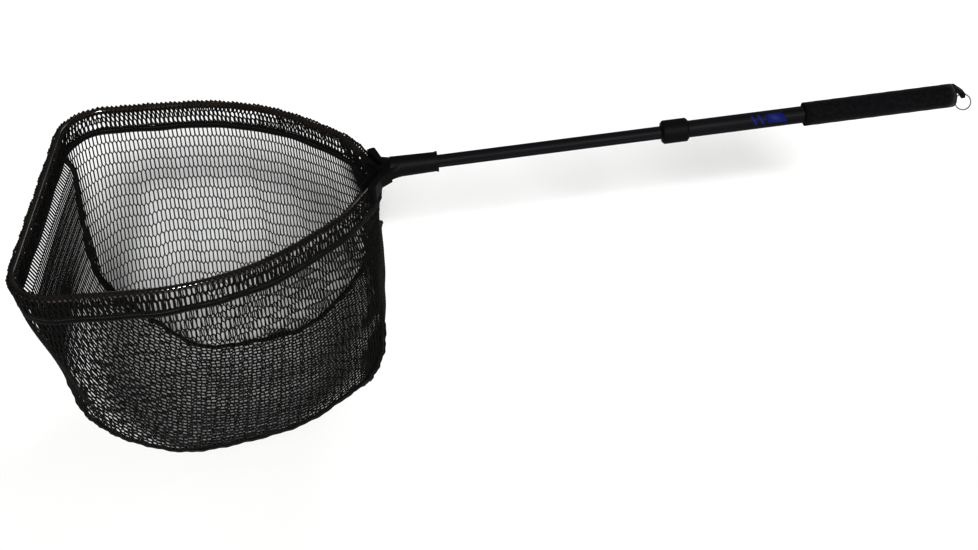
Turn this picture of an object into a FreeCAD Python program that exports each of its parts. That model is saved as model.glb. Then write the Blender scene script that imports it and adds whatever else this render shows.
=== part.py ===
import FreeCAD, Part
import math
import os
import Sketcher
from FreeCAD import Placement, Rotation, Vector

# Landing net with a two-section telescopic handle, in millimetres.
# The handle lies along X with its butt at +X and its axis at y = 0, z = 0.
# The origin is the middle of the foam grip, where a hand or a rod holder holds it.
# The hoop is at -X in a plane that tips up slightly from the yoke, and the bag hangs to -Z.

doc = FreeCAD.newDocument("landing_net")
sheet = doc.addObject("Spreadsheet::Sheet", "Sizes")
nodes = []


class Dim:
    """A size: its number, and the formula that a property is bound to."""

    def __init__(self, value, formula):
        self.value = value
        self.formula = formula

    def combine(self, other, sign, value):
        text = other.formula if isinstance(other, Dim) else repr(other)
        return Dim(value, f"({self.formula} {sign} {text})")

    def __add__(self, other):
        return self.combine(other, "+", self.value + number(other))

    def __sub__(self, other):
        return self.combine(other, "-", self.value - number(other))

    def __mul__(self, other):
        return self.combine(other, "*", self.value * number(other))

    def __truediv__(self, other):
        return self.combine(other, "/", self.value / number(other))

    def __neg__(self):
        return Dim(-self.value, f"(0 - {self.formula})")


def number(size):
    """The plain number of a Dim or of a number."""
    return size.value if isinstance(size, Dim) else size


def driving(alias, value):
    """Writes one driving dimension to the sheet, and gives it as a Dim."""
    driving.row += 1
    sheet.set(f"A{driving.row}", alias)
    sheet.set(f"B{driving.row}", str(value))
    sheet.setAlias(f"B{driving.row}", alias)
    return Dim(value, f"{sheet.Name}.{alias}")


driving.row = 0

# ---- driving dimensions -------------------------------------------------------------------

grip_length = driving("grip_length", 189)
grip_diameter = driving("grip_diameter", 29.8)
outer_tube_bare = driving("outer_tube_bare", 148)
outer_tube_diameter = driving("outer_tube_diameter", 21.4)
outer_tube_wall = driving("outer_tube_wall", 1.2)
inner_tube_bare = driving("inner_tube_bare", 285)
inner_tube_diameter = driving("inner_tube_diameter", 16.2)
inner_tube_wall = driving("inner_tube_wall", 1.4)
flute_radius = driving("flute_radius", 1.6)
flute_depth = driving("flute_depth", 0.5)
flute_count = driving("flute_count", 4)
running_gap = driving("running_gap", 0.05)
moving_gap = driving("moving_gap", 0.4)
rest_gap = driving("rest_gap", 0.3)

foam_ease = driving("foam_ease", 2)
cap_flange = driving("cap_flange", 2.5)
cap_edge = driving("cap_edge", 0.5)
cap_chamfer = driving("cap_chamfer", 1)
cap_spigot = driving("cap_spigot", 22)
lug_reach = driving("lug_reach", 13.5)
lug_width = driving("lug_width", 11)
lug_eye = driving("lug_eye", 2.8)
lug_wall = driving("lug_wall", 1.6)
lug_root = driving("lug_root", 5)
ring_radius = driving("ring_radius", 10)
ring_wire = driving("ring_wire", 1.6)
ring_swing = driving("ring_swing", 38)

nut_length = driving("nut_length", 34)
nut_wall = driving("nut_wall", 1.9)
nut_chamfer = driving("nut_chamfer", 2.6)
nut_front_wall = driving("nut_front_wall", 3)
body_wall = driving("body_wall", 2.3)
body_lip = driving("body_lip", 3)
collet_length = driving("collet_length", 8)
collet_split = driving("collet_split", 1.6)
collet_lip = driving("collet_lip", 1.6)
collet_step = driving("collet_step", 0.6)
nut_travel = driving("nut_travel", 1)
bush_length = driving("bush_length", 40)

socket_diameter = driving("socket_diameter", 24.6)
socket_root_diameter = driving("socket_root_diameter", 27.2)
socket_depth = driving("socket_depth", 50)
arm_length = driving("arm_length", 42)
arm_width = driving("arm_width", 20)
arm_height = driving("arm_height", 21)
web_thickness = driving("web_thickness", 9)

hoop_length = driving("hoop_length", 445)
hoop_width = driving("hoop_width", 418)
hoop_tube_diameter = driving("hoop_tube_diameter", 8)
corner_radius = driving("corner_radius", 58)
shoulder_share = driving("shoulder_share", 0.646)
shoulder_angle = driving("shoulder_angle", 42)
elbow_share = driving("elbow_share", 0.287)
arm_angle = driving("arm_angle", 62)
arm_run_share = driving("arm_run_share", 0.1914)
hoop_tilt = driving("hoop_tilt", 3.7)
hoop_drop = driving("hoop_drop", 8.4)
hoop_setback = driving("hoop_setback", 60)

net_thickness = driving("net_thickness", 2)
sleeve_gap = driving("sleeve_gap", 0.4)
hem_height = driving("hem_height", 28)
rim_tape_height = driving("rim_tape_height", 7)
rim_tape_thickness = driving("rim_tape_thickness", 3)
seam_tape_diameter = driving("seam_tape_diameter", 5)
bag_depth = driving("bag_depth", 352)

doc.recompute()

# ---- places along the handle, worked out from the driving dimensions ----------------------

grip_end = grip_length / 2
grip_start = -grip_end
nut_back = grip_start - outer_tube_bare
nut_front = nut_back - nut_length
socket_mouth = nut_front - inner_tube_bare
outer_radius = outer_tube_diameter / 2
outer_bore = outer_radius - outer_tube_wall
inner_radius = inner_tube_diameter / 2
inner_bore = inner_radius - inner_tube_wall
collet_front = nut_front + nut_front_wall
collet_back = collet_front + collet_length
body_front = collet_back + rest_gap
tube_mouth = body_front + body_lip
inner_tail = tube_mouth + bush_length + rest_gap
nut_diameter = outer_tube_diameter + (body_wall + nut_wall) * 2


# ---- helpers for the bodies ---------------------------------------------------------------

least_cut = 0.001


def start_body(label):
    """A new PartDesign body, listed as one of the model's nodes."""
    body = doc.addObject("PartDesign::Body", label)
    body.Label = label
    nodes.append(body)
    return body


def origin_item(body, role):
    """One plane or axis of a body's own origin."""
    return next(item for item in body.Origin.OriginFeatures if item.Role == role)


def start_sketch(body, role, shift=None):
    """A sketch on one of the body's origin planes, moved along its normal if asked."""
    sketch = body.newObject("Sketcher::SketchObject", f"{body.Label}_sketch")
    sketch.AttachmentSupport = (origin_item(body, role), "")
    sketch.MapMode = "FlatFace"
    if shift is not None:
        sketch.AttachmentOffset = Placement(Vector(0, 0, shift.value), Rotation())
        sketch.setExpression(".AttachmentOffset.Base.z", shift.formula)
    return sketch


def bind_constraint(sketch, index, name, size):
    """Names a dimensional constraint and ties it to a formula."""
    sketch.renameConstraint(index, name)
    sketch.setExpression(f"Constraints.{name}", size.formula)


def draw_polygon(sketch, corners):
    """A closed outline whose every corner is tied to its own two sizes."""
    first = sketch.GeometryCount
    points = [Vector(number(x), number(y), 0) for x, y in corners]
    count = len(points)
    for i in range(count):
        sketch.addGeometry(Part.LineSegment(points[i], points[(i + 1) % count]), False)
    for i in range(count):
        joint = Sketcher.Constraint("Coincident", first + i, 2, first + (i + 1) % count, 1)
        sketch.addConstraint(joint)
    for i, corner in enumerate(corners):
        for kind, size in zip(("DistanceX", "DistanceY"), corner):
            value = number(size)
            index = sketch.addConstraint(Sketcher.Constraint(kind, -1, 1, first + i, 1, value))
            if isinstance(size, Dim):
                bind_constraint(sketch, index, f"{kind}_{first + i}", size)


def draw_circle(sketch, radius, across=0, up=0):
    """A circle tied to its radius and to its centre's two sizes."""
    centre = Vector(number(across), number(up), 0)
    circle = Part.Circle(centre, Vector(0, 0, 1), number(radius))
    index = sketch.addGeometry(circle, False)
    place = sketch.addConstraint(Sketcher.Constraint("Radius", index, number(radius)))
    bind_constraint(sketch, place, f"Radius_{index}", radius)
    for kind, size in (("DistanceX", across), ("DistanceY", up)):
        value = number(size)
        place = sketch.addConstraint(Sketcher.Constraint(kind, -1, 1, index, 3, value))
        if isinstance(size, Dim):
            bind_constraint(sketch, place, f"{kind}_{index}", size)


def revolve(body, corners):
    """Turns an outline of (along the handle, radius) corners about the handle's axis."""
    sketch = start_sketch(body, "XZ_Plane")
    draw_polygon(sketch, corners)
    turned = body.newObject("PartDesign::Revolution", f"{body.Label}_turned")
    turned.Profile = sketch
    turned.ReferenceAxis = (sketch, ["H_Axis"])
    turned.Angle = 360
    doc.recompute()
    return turned


def tube_corners(start, end, inside, outside):
    """The outline of a plain tube's wall."""
    return [(start, inside), (end, inside), (end, outside), (start, outside)]


def repeat_about_handle(body, feature, count):
    """Repeats a feature round the handle's axis, and makes the result the body's tip."""
    pattern = body.newObject("PartDesign::PolarPattern", f"{body.Label}_pattern")
    pattern.Originals = [feature]
    pattern.Axis = (origin_item(body, "X_Axis"), [""])
    pattern.Angle = 360
    pattern.Occurrences = int(count.value)
    pattern.setExpression("Occurrences", count.formula)
    body.Tip = pattern
    doc.recompute()


def cut_along(body, sketch, length):
    """Pockets a sketch on a YZ plane towards +X, and checks that it removed something."""
    before = body.Shape.Volume
    pocket = body.newObject("PartDesign::Pocket", f"{body.Label}_cut")
    pocket.Profile = sketch
    pocket.Length = length.value
    pocket.setExpression("Length", length.formula)
    pocket.Reversed = True
    doc.recompute()
    if body.Shape.Volume >= before - least_cut:
        raise RuntimeError(f"{body.Label}: the cut removes nothing")
    return pocket


# ---- handle: outer section -----------------------------------------------------------------

def make_outer_tube():
    """Plain drawn tube from the lock body to the butt."""
    body = start_body("outer_tube")
    revolve(body, tube_corners(tube_mouth, grip_end, outer_bore, outer_radius))


def make_grip_foam():
    """Foam sleeve with eased ends."""
    body = start_body("grip_foam")
    radius = grip_diameter / 2
    revolve(body, [
        (grip_start, outer_radius), (grip_end, outer_radius), (grip_end, radius),
        (grip_start + foam_ease, radius), (grip_start, radius - foam_ease),
    ])


def make_end_cap():
    """Rubber stopper with a flange, a spigot in the tube and a sloping lug over the ring's eye."""
    body = start_body("end_cap")
    radius = grip_diameter / 2 - cap_edge
    face = grip_end + cap_flange
    revolve(body, [
        (grip_end - cap_spigot, Dim(0, "0")), (face, Dim(0, "0")),
        (face, radius - cap_chamfer), (face - cap_chamfer, radius), (grip_end, radius),
        (grip_end, outer_bore), (grip_end - cap_spigot, outer_bore),
    ])
    tip = grip_end + lug_reach + cap_flange
    tab = lug_eye + 2
    low = -lug_eye / 2 - lug_wall
    sketch = start_sketch(body, "XZ_Plane")
    draw_polygon(sketch, [
        (face - cap_chamfer, radius - cap_chamfer), (face + cap_chamfer, radius - cap_chamfer),
        (tip, lug_eye / 2 + lug_wall), (tip, low), (tip - tab, low),
        (tip - tab, lug_eye / 2 + lug_wall), (face - cap_chamfer, lug_eye / 2 + lug_root),
    ])
    lug = body.newObject("PartDesign::Pad", "end_cap_lug")
    lug.Profile = sketch
    lug.Midplane = True
    lug.Length = lug_width.value
    lug.setExpression("Length", lug_width.formula)
    doc.recompute()
    eye = start_sketch(body, "YZ_Plane", tip - tab - 1)
    draw_circle(eye, lug_eye / 2)
    body.Tip = cut_along(body, eye, tab + 2)


def eye_place():
    """The middle of the lug's eye, where the ring hangs."""
    tip = grip_end + lug_reach + cap_flange
    return Vector(tip.value - (lug_eye.value + 2) / 2, 0, 0)


def make_split_ring():
    """Wire ring, swung to the near side about the eye."""
    ring = doc.addObject("Part::Torus", "split_ring")
    ring.Label = "split_ring"
    ring.setExpression("Radius1", ring_radius.formula)
    ring.setExpression("Radius2", (ring_wire / 2).formula)
    swing = math.radians(ring_swing.value)
    down = Vector(0, -math.sin(swing), -math.cos(swing))
    normal = Vector(0, -math.cos(swing), math.sin(swing))
    centre = eye_place() + down * ring_radius.value
    ring.Placement = Placement(centre, Rotation(Vector(0, 0, 1), normal))
    nodes.append(ring)


# ---- handle: twist lock ----------------------------------------------------------------------

def make_lock_body():
    """Ferrule on the outer tube's mouth, with the thread's land and keys for the flutes."""
    body = start_body("lock_body")
    shoulder = outer_radius + body_wall
    lip_bore = inner_radius + running_gap
    back = nut_back - nut_chamfer - nut_travel - rest_gap
    revolve(body, [
        (body_front, lip_bore), (tube_mouth, lip_bore), (tube_mouth, outer_radius),
        (back, outer_radius), (back, shoulder), (body_front, shoulder),
    ])
    sketch = start_sketch(body, "YZ_Plane", body_front)
    key_radius = flute_radius - 0.15
    draw_circle(sketch, key_radius, Dim(0, "0"), inner_radius - flute_depth + flute_radius)
    key = body.newObject("PartDesign::Pad", "lock_body_key")
    key.Profile = sketch
    key.Length = body_lip.value
    key.setExpression("Length", body_lip.formula)
    doc.recompute()
    repeat_about_handle(body, key, flute_count)


def make_lock_nut():
    """Collar that is turned by hand; its cone drives the collet and its back lip keeps it on."""
    body = start_body("lock_nut")
    radius = nut_diameter / 2
    bore = outer_radius + body_wall + running_gap
    way = inner_radius + moving_gap
    seat = inner_radius + collet_lip
    revolve(body, [
        (nut_front, way), (collet_front, way), (collet_front, seat + rest_gap),
        (collet_back, bore), (nut_back - nut_chamfer, bore),
        (nut_back - nut_chamfer, outer_radius + moving_gap),
        (nut_back, outer_radius + moving_gap), (nut_back, radius - nut_chamfer),
        (nut_back - nut_chamfer, radius), (nut_front + nut_chamfer, radius),
        (nut_front, radius - nut_chamfer),
    ])


def make_lock_collet():
    """Split tapered ring between the nut's cone and the lock body."""
    body = start_body("lock_collet")
    small = inner_radius + collet_lip
    large = outer_radius + body_wall - collet_step
    front = collet_front + running_gap
    back = collet_back
    revolve(body, [
        (front, inner_radius + running_gap), (back, inner_radius + running_gap),
        (back, large), (front, small),
    ])
    sketch = start_sketch(body, "YZ_Plane", front - 1)
    half = collet_split / 2
    draw_polygon(sketch, [
        (-half, -nut_diameter / 2), (half, -nut_diameter / 2), (half, Dim(0, "0")),
        (-half, Dim(0, "0")),
    ])
    body.Tip = cut_along(body, sketch, collet_length + 2)


# ---- handle: inner section ---------------------------------------------------------------------

def make_inner_tube():
    """Fluted tube from the bottom of the yoke's socket to its tail in the outer tube."""
    body = start_body("inner_tube")
    start = socket_mouth - socket_depth
    revolve(body, tube_corners(start, inner_tail, inner_bore, inner_radius))
    sketch = start_sketch(body, "YZ_Plane", start - 1)
    draw_circle(sketch, flute_radius, Dim(0, "0"), inner_radius - flute_depth + flute_radius)
    flute = cut_along(body, sketch, inner_tail - start + 2)
    repeat_about_handle(body, flute, flute_count)


def make_guide_bush():
    """Sleeve bonded on the inner tube's tail, running in the outer tube."""
    body = start_body("guide_bush")
    revolve(body, tube_corners(inner_tail - bush_length, inner_tail, inner_radius,
                               outer_bore - running_gap))


make_outer_tube()
make_grip_foam()
make_end_cap()
make_split_ring()
make_lock_body()
make_lock_nut()
make_lock_collet()
make_inner_tube()
make_guide_bush()

# ---- hoop frame ------------------------------------------------------------------------------------
# The hoop, the yoke's arms and the bag are drawn in the hoop's own frame: origin at the yoke's fork,
# -X to the front bar, hoop tube's axis at z = 0. hoop_place puts that frame in the row's.

hoop_tilt_turn = Rotation(Vector(0, 1, 0), hoop_tilt.value)
fork = Vector(socket_mouth.value - hoop_setback.value, 0, -hoop_drop.value)
hoop_place = Placement(fork, hoop_tilt_turn)
tube_start = Vector(-14, 4, 0)
arm_run = hoop_width.value * arm_run_share.value
elbow_radius = hoop_width.value * elbow_share.value
shoulder_radius = hoop_width.value * shoulder_share.value
fork_radius = 60


def heading(degrees):
    """The direction of a run of the far half that leans so far outwards from -X."""
    turn = math.radians(degrees)
    return Vector(-math.cos(turn), math.sin(turn), 0)


def outward(degrees):
    """The hoop's outside, square to a heading."""
    turn = math.radians(degrees)
    return Vector(math.sin(turn), math.cos(turn), 0)


class HoopLine:
    """The far half of the hoop's outline from the fork to the front bar, so far outside the axis.

    It is drawn as a walk: every bend turns inwards, so an offset line has the same headings.
    """

    def __init__(self, offset=0.0):
        self.offset = offset
        self.edges = []
        self.place = None
        self.lean = None

    def start(self, place, lean):
        self.place, self.lean = place, lean
        return self

    def drawn(self, place, lean):
        return place + outward(lean) * self.offset

    def straight(self, length):
        end = self.place + heading(self.lean) * length
        line = Part.LineSegment(self.drawn(self.place, self.lean), self.drawn(end, self.lean))
        self.edges.append(line.toShape())
        self.place = end

    def bend(self, radius, lean):
        centre = self.place - outward(self.lean) * radius
        ends = [centre + outward(angle) * (radius + self.offset)
                for angle in (self.lean, (self.lean + lean) / 2, lean)]
        self.edges.append(Part.Arc(*ends).toShape())
        self.place, self.lean = centre + outward(lean) * radius, lean

    def round_to_front(self):
        """Elbow, shoulder, side and front corner, up to the front bar."""
        self.bend(elbow_radius, shoulder_angle.value)
        half_width, shoulder = hoop_width.value / 2, shoulder_radius
        turn = math.radians(shoulder_angle.value)
        rise = half_width - self.place.y - shoulder * (1 - math.cos(turn))
        self.straight(rise / math.sin(turn))
        self.bend(shoulder, 0)
        self.straight(self.place.x + hoop_length.value - corner_radius.value)
        self.bend(corner_radius.value, -90)
        return self.edges

    def open_half(self, skipped):
        """From a point on the arm's run to the front bar."""
        place = tube_start + heading(arm_angle.value) * skipped
        self.start(place, arm_angle.value).straight(arm_run - skipped)
        return self.round_to_front()

    def closed_half(self):
        """From a rounded apex on the middle line, under the fork, to the front bar."""
        lean = arm_angle.value
        across = fork_radius * outward(lean).y
        back = (across - tube_start.y) / heading(lean).y
        arm_foot = tube_start + heading(lean) * back
        apex = Vector(arm_foot.x - fork_radius * outward(lean).x + fork_radius, 0, 0)
        self.start(apex, 90).bend(fork_radius, lean)
        self.straight(arm_run - back)
        return self.round_to_front()

    def front_bar(self):
        """The straight front, from side to side."""
        corner = Vector(-hoop_length.value - self.offset, hoop_width.value / 2 - corner_radius.value, 0)
        return Part.LineSegment(Vector(corner.x, -corner.y, 0), corner).toShape()


def arm_point(distance):
    """A point of the far arm's axis, so far from the tube's end."""
    return tube_start + heading(arm_angle.value) * distance


def near_copy(shape):
    """The same shape on the near side."""
    return shape.mirror(Vector(), Vector(0, 1, 0))


def whole_wire(line, half):
    """One wire of a far half, the front bar and the near half."""
    edges = half + [line.front_bar()] + [near_copy(edge) for edge in half]
    return Part.Wire(Part.__sortEdges__(edges))


def keep(label, shape, placement=None):
    """Puts a shape in the document as a node, with its Placement after its Shape."""
    if shape.ShapeType == "Compound" and len(shape.Solids) == 1:
        shape = shape.Solids[0]
    feature = doc.addObject("Part::Feature", label)
    feature.Label = label
    feature.Shape = shape
    if placement is not None:
        feature.Placement = placement
    nodes.append(feature)


def pipe(wire, radius):
    """A round bar of one radius along a wire that starts in the hoop's plane."""
    start = wire.OrderedVertexes[0].Point
    first = wire.OrderedEdges[0]
    direction = first.tangentAt(first.FirstParameter)
    circle = Part.Wire(Part.makeCircle(radius, start, direction))
    return wire.makePipeShell([circle], True, False)


def ring_wall(thickness, low, high):
    """A thin wall that follows the whole hoop outline between two heights."""
    outer, inner = HoopLine(thickness / 2), HoopLine(-thickness / 2)
    faces = [Part.Face(whole_wire(line, line.closed_half())) for line in (outer, inner)]
    ring = faces[0].cut(faces[1])
    ring.translate(Vector(0, 0, low))
    return ring.extrude(Vector(0, 0, high - low))


# ---- yoke and hoop ------------------------------------------------------------------------------------

tube_radius = hoop_tube_diameter.value / 2
tube_wall = 1
screw_reach = 0.66
screw_gap = 0.05
screw_bite = 2
arm_screw_radius = 1.25
arm_screw_head = 2.6
arm_screw_sunk = 0.8
socket_screw_radius = 1.5
socket_screw_head = 3
socket_screw_sunk = 1.4
lip_height = 0.7
lip_length = 3
web_inset = 3
spread_length = 14
spread_reach = 0.45

# An arm's section as shares of its width and height: inside and outside the tube, foot and top.
ROOT_SECTION = (0.2, 0.4, -0.15, 0.5)
END_SECTION = (0.4, 0.72, -0.5, 0.5)
SPREAD_SECTION = (-0.2, 0.48)


def arm_screw_point(side):
    """Where an arm's screw stands under the hoop tube."""
    point = arm_point(arm_length.value * screw_reach)
    return Vector(point.x, point.y * side, 0)


def make_hoop_tube():
    """One bent tube with its two ends in the yoke's arms."""
    line = HoopLine()
    wire = whole_wire(line, line.open_half(0))
    shape = pipe(wire, tube_radius).cut(pipe(wire, tube_radius - tube_wall))
    for side in (1, -1):
        hole = Part.makeCylinder(arm_screw_radius + screw_gap, tube_radius + 1,
                                 arm_screw_point(side) - Vector(0, 0, tube_radius + 1))
        shape = shape.cut(hole)
    keep("hoop_tube", shape, hoop_place)


def across_arm(x, shares):
    """A closed wire across an arm, around the tube's axis."""
    width, height = arm_width.value, arm_height.value
    inside, outside, low, high = (share * size for share, size
                                  in zip(shares, (width, -width, height, height)))
    corners = [Vector(x, inside, low), Vector(x, inside, high), Vector(x, outside, high),
               Vector(x, outside, low)]
    return Part.makePolygon(corners + corners[:1])


def channel_arm(side):
    """One arm: a block that grows round the tube's end, and the channel that is cut in it."""
    width, height, length = arm_width.value, arm_height.value, arm_length.value
    sections = [across_arm(0, ROOT_SECTION), across_arm(length, END_SECTION)]
    block = Part.makeLoft(sections, True, True)
    corners = [edge for edge in block.Edges
               if abs(edge.tangentAt(edge.FirstParameter).z) > 0.9
               and edge.BoundBox.XMin > length / 2]
    block = block.makeFillet(width * 0.15, corners)
    back = Vector(-screw_gap, 0, 0)
    bore = Part.makeCylinder(tube_radius, length * 2, back, Vector(1, 0, 0))
    slot = Part.makeBox(length * 2, tube_radius * 2, height, back - Vector(0, tube_radius, 0))
    channel = bore.fuse(slot)
    turn = Rotation(Vector(1, 0, 0), heading(arm_angle.value))
    for shape in (block, channel):
        shape.Placement = Placement(tube_start, turn)
    if side < 0:
        block, channel = near_copy(block), near_copy(channel)
    return block, channel


def make_socket():
    """The tapered socket with a raised lip at its mouth."""
    root, mouth = fork.x, socket_mouth.value
    along = Vector(1, 0, 0)
    cone = Part.makeCone(socket_root_diameter.value / 2, socket_diameter.value / 2,
                         mouth - root, Vector(root, 0, 0), along)
    lip = Part.makeCylinder(socket_diameter.value / 2 + lip_height, lip_length,
                            Vector(mouth - lip_length, 0, 0), along)
    return cone.fuse(lip)


def make_web():
    """The flat plate between the two arms."""
    tip = arm_point(arm_length.value - web_inset)
    low, half = -arm_height.value / 2 + web_inset, arm_width.value / 2
    outline = [Vector(0, -half, low), Vector(0, half, low), Vector(tip.x, tip.y, low),
               Vector(tip.x, -tip.y, low)]
    face = Part.Face(Part.makePolygon(outline + outline[:1]))
    web = face.extrude(Vector(0, 0, web_thickness.value))
    web.Placement = hoop_place
    return web


def make_spread():
    """The shoulder between the round socket and the two arms."""
    share = spread_length / (socket_mouth.value - fork.x)
    root, mouth = socket_root_diameter.value / 2, socket_diameter.value / 2
    circle = Part.makeCircle(root + (mouth - root) * share - screw_gap,
                             Vector(fork.x + spread_length, 0, 0), Vector(1, 0, 0))
    end = arm_point(arm_length.value * spread_reach)
    end += outward(arm_angle.value) * arm_width.value * ROOT_SECTION[1]
    low, high = (arm_height.value * share for share in SPREAD_SECTION)
    corners = [Vector(end.x, -end.y, low), Vector(end.x, end.y, low),
               Vector(end.x, end.y, high), Vector(end.x, -end.y, high)]
    wide = Part.makePolygon(corners + corners[:1])
    wide.Placement = hoop_place
    return Part.makeLoft([Part.Wire(circle), Part.Wire(wide.Edges)], True)


def make_yoke():
    """Moulded Y: the socket spreads into two channels that a web joins."""
    shape = make_socket()
    channels = []
    for side in (1, -1):
        block, channel = channel_arm(side)
        block.Placement = hoop_place.multiply(block.Placement)
        channel.Placement = hoop_place.multiply(channel.Placement)
        shape = shape.fuse(block)
        channels.append(channel)
    shape = shape.fuse([make_web(), make_spread()])
    bore = Part.makeCylinder(inner_radius.value, socket_depth.value * 1.1,
                             Vector(socket_mouth.value - socket_depth.value, 0, 0),
                             Vector(1, 0, 0))
    shape = shape.cut([bore] + channels)
    shape = shape.cut(socket_screw(screw_gap)).cut([arm_screw(side, screw_gap) for side in (1, -1)])
    keep("yoke", shape.removeSplitter())


def countersunk_screw(foot, radius, length, head_radius, gap, placement):
    """A screw driven upwards: head at the foot, shank above it."""
    head = Part.makeCylinder(head_radius + gap, 2 * radius, foot)
    shank = Part.makeCylinder(radius + gap, length + gap, foot)
    shape = head.fuse(shank)
    shape.Placement = placement
    return shape


def socket_screw(gap):
    """Screw up through the socket's underside into the inner tube."""
    x = socket_mouth.value - socket_depth.value / 2
    foot = -socket_root_diameter.value / 2 + socket_screw_sunk
    length = -foot - inner_bore.value + screw_bite / 2
    return countersunk_screw(Vector(x, 0, foot), socket_screw_radius, length, socket_screw_head,
                             gap, Placement())


def arm_screw(side, gap):
    """Screw up through an arm's floor into the hoop tube."""
    foot = -arm_height.value / 2 + arm_screw_sunk
    point = arm_screw_point(side) + Vector(0, 0, foot)
    length = -foot - tube_radius + screw_bite
    return countersunk_screw(point, arm_screw_radius, length, arm_screw_head, gap, hoop_place)


def make_screws():
    keep("yoke_screw", socket_screw(0))
    keep("hoop_screws", Part.makeCompound([arm_screw(side, 0) for side in (1, -1)]))


def drill_inner_tube(body):
    """The hole for the yoke's screw, through the tube's lower wall only."""
    sketch = body.newObject("Sketcher::SketchObject", "inner_tube_drill")
    sketch.AttachmentSupport = (origin_item(body, "XY_Plane"), "")
    sketch.MapMode = "FlatFace"
    hole_radius = socket_screw_radius + screw_gap
    draw_circle(sketch, Dim(hole_radius, repr(hole_radius)),
                socket_mouth - socket_depth / 2)
    before = body.Shape.Volume
    hole = body.newObject("PartDesign::Pocket", "inner_tube_screw_hole")
    hole.Profile = sketch
    hole.Length = inner_radius.value + 1
    hole.setExpression("Length", (inner_radius + 1).formula)
    doc.recompute()
    if body.Shape.Volume >= before - least_cut:
        raise RuntimeError("inner_tube: the screw hole removes nothing")
    body.Tip = hole


# ---- net bag --------------------------------------------------------------------------------------------
# Closed solids with the bag's true outer shape and open mouth. Stations run from the front corner
# of the rim, down the front, under, and up the back to the fork. Each gives the seam's place as
# shares of the hoop's length, its half width and the bag's depth, and how far along the rim's half
# the side panel's upper edge is there.

SEAM_STATIONS = [
    (0.98, 0.70, 0.15, 0.00),
    (0.98, 0.54, 0.52, 0.11),
    (0.95, 0.60, 0.70, 0.18),
    (0.90, 0.61, 0.80, 0.24),
    (0.83, 0.59, 0.89, 0.30),
    (0.70, 0.52, 1.00, 0.41),
    (0.53, 0.50, 0.99, 0.53),
    (0.33, 0.49, 0.92, 0.65),
    (0.16, 0.56, 0.73, 0.77),
    (0.10, 0.68, 0.60, 0.84),
    (0.06, 0.61, 0.48, 0.90),
    (0.07, 0.36, 0.36, 0.95),
    (0.10, 0.06, 0.24, 0.98),
]

rim_low = -(hem_height.value + rim_tape_height.value + 2 * rest_gap.value + net_thickness.value / 2)
seam_clearance = seam_tape_diameter.value / 2 + net_thickness.value * 1.5


def seam_points():
    """The far seam from the front corner to the fork."""
    depth = bag_depth.value
    return [Vector(-along * hoop_length.value, across * hoop_width.value / 2, -down * depth)
            for along, across, down, share in SEAM_STATIONS]


def rim_points():
    """The side panel's upper edge, under the rim tape, station by station."""
    wire = Part.Wire(HoopLine().closed_half())
    steps = 400
    fine = wire.discretize(Number=steps + 1)
    return [fine[round((1 - share) * steps)] + Vector(0, 0, rim_low)
            for along, across, down, share in SEAM_STATIONS]


def along_at(points, i):
    """The direction of a run of points at one of them."""
    before, after = points[max(i - 1, 0)], points[min(i + 1, len(points) - 1)]
    return (after - before).normalize()


def strip(edges_a, edges_b, thickness):
    """A closed thin solid between two runs of points, ruled from station to station."""
    middles = [(a + b) / 2 for a, b in zip(edges_a, edges_b)]
    wires = []
    for i, (a, b) in enumerate(zip(edges_a, edges_b)):
        normal = along_at(middles, i).cross(b - a).normalize() * (thickness / 2)
        corners = [a - normal, b - normal, b + normal, a + normal]
        wires.append(Part.makePolygon(corners + corners[:1]))
    return Part.makeLoft(wires, True, True)


def beside_seam(seam, i, way):
    """A point of a panel's edge: clear of the seam's tape, the way that the panel leaves it."""
    way = Vector(way).normalize()
    slant = along_at(seam, i).cross(way).Length
    return seam[i] + way * (seam_clearance / slant)


def make_side_panels():
    rim, seam = rim_points(), seam_points()
    low = [beside_seam(seam, i, rim[i] - seam[i]) for i in range(len(seam))]
    panel = strip(rim, low, net_thickness.value)
    keep("net_side_far", panel, hoop_place)
    keep("net_side_near", near_copy(panel), hoop_place)


def make_gusset():
    corner_y = hoop_width.value / 2 - corner_radius.value
    seam = [Vector(-hoop_length.value, corner_y, rim_low)] + seam_points()
    far = [beside_seam(seam, i, Vector(0, -1, 0)) for i in range(len(seam))]
    near = [Vector(point.x, -point.y, point.z) for point in far]
    keep("net_gusset", strip(far, near, net_thickness.value), hoop_place)


def make_seam_tapes():
    seam = seam_points()
    half = seam_tape_diameter.value / 2 / math.sqrt(2)
    wires = []
    for i, point in enumerate(seam):
        run = along_at(seam, i)
        side = run.cross(Vector(0, 1, 0)).normalize() * half
        up = run.cross(side).normalize() * half
        corners = [point - side - up, point + side - up, point + side + up, point - side + up]
        wires.append(Part.makePolygon(corners + corners[:1]))
    tape = Part.makeLoft(wires, True, True)
    keep("seam_tape_far", tape, hoop_place)
    keep("seam_tape_near", near_copy(tape), hoop_place)


def make_hem():
    """Netting folded over the hoop tube: a sleeve with a wall hanging from it."""
    line = HoopLine()
    wire = whole_wire(line, line.open_half(arm_length.value + rest_gap.value))
    inside = tube_radius + sleeve_gap.value
    outside = inside + net_thickness.value / 2
    wall_top = -inside - net_thickness.value / 10
    wall = ring_wall(net_thickness.value, -hem_height.value, wall_top)
    yoke_low = -arm_height.value / 2 - net_thickness.value
    notch_x = arm_point(arm_length.value * 1.1).x
    width = hoop_width.value
    notch = Part.makeBox(width, width, width, Vector(notch_x, -width / 2, yoke_low))
    wall = wall.cut(notch)
    sleeve = pipe(wire, outside).fuse(wall).cut(pipe(wire, inside))
    keep("net_hem", sleeve.removeSplitter(), hoop_place)


def make_rim_tape():
    """Binding sewn round the foot of the hem."""
    top = -hem_height.value - rest_gap.value
    keep("rim_tape", ring_wall(rim_tape_thickness.value, top - rim_tape_height.value, top),
         hoop_place)


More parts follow.
